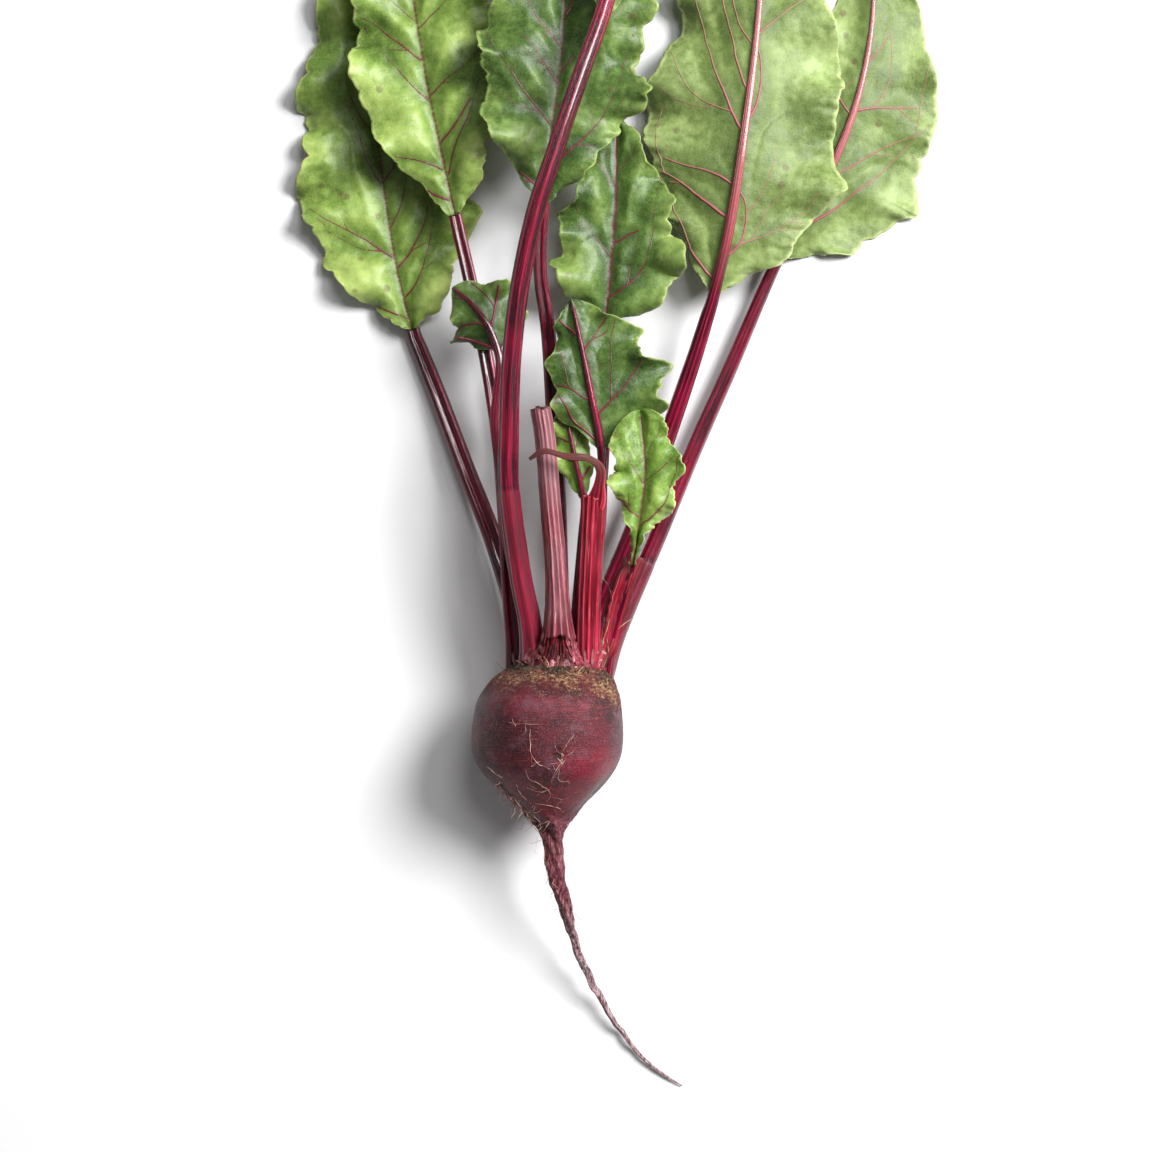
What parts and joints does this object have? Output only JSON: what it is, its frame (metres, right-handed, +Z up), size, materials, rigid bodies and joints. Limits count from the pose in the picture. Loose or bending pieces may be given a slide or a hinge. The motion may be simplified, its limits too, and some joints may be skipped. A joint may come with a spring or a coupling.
{
  "type": "beetroot",
  "caption": "Whole beetroot with its tail root and leaves, lying on its side as picked.",
  "frame": {"origin": "middle of the small flat spot on the root's side that it rests on", "axes": "+Z up; +Y from the root towards the leaves, with the tail towards -Y; +X to the right seen from above"},
  "size_m": [0.2615, 0.5717, 0.0594],
  "materials": {
    "root": "satin",
    "stalk": "satin",
    "stalk_dry": "matte",
    "blade": "satin",
    "blade_under": "satin",
    "blade_young": "satin"
  },
  "bodies": {
    "root": {"root": "root", "stalk_cut": "stalk_dry", "stalk_torn": "stalk", "stalk_long": "stalk", "blade_long": "blade_under", "stalk_middle": "stalk", "blade_middle": "blade", "stalk_left": "stalk", "blade_left": "blade", "stalk_right": "stalk", "blade_right": "blade_under", "stalk_far": "stalk", "blade_far": "blade_under", "stalk_deep": "stalk", "blade_deep": "blade", "stalk_lobed": "stalk", "blade_lobed": "blade", "stalk_under": "stalk", "blade_under": "blade", "stalk_side": "stalk", "blade_side": "blade_under", "stalk_bright": "stalk", "blade_bright": "blade_young", "stalk_curled": "stalk", "blade_curled": "blade_young"}
  },
  "joints": []
}
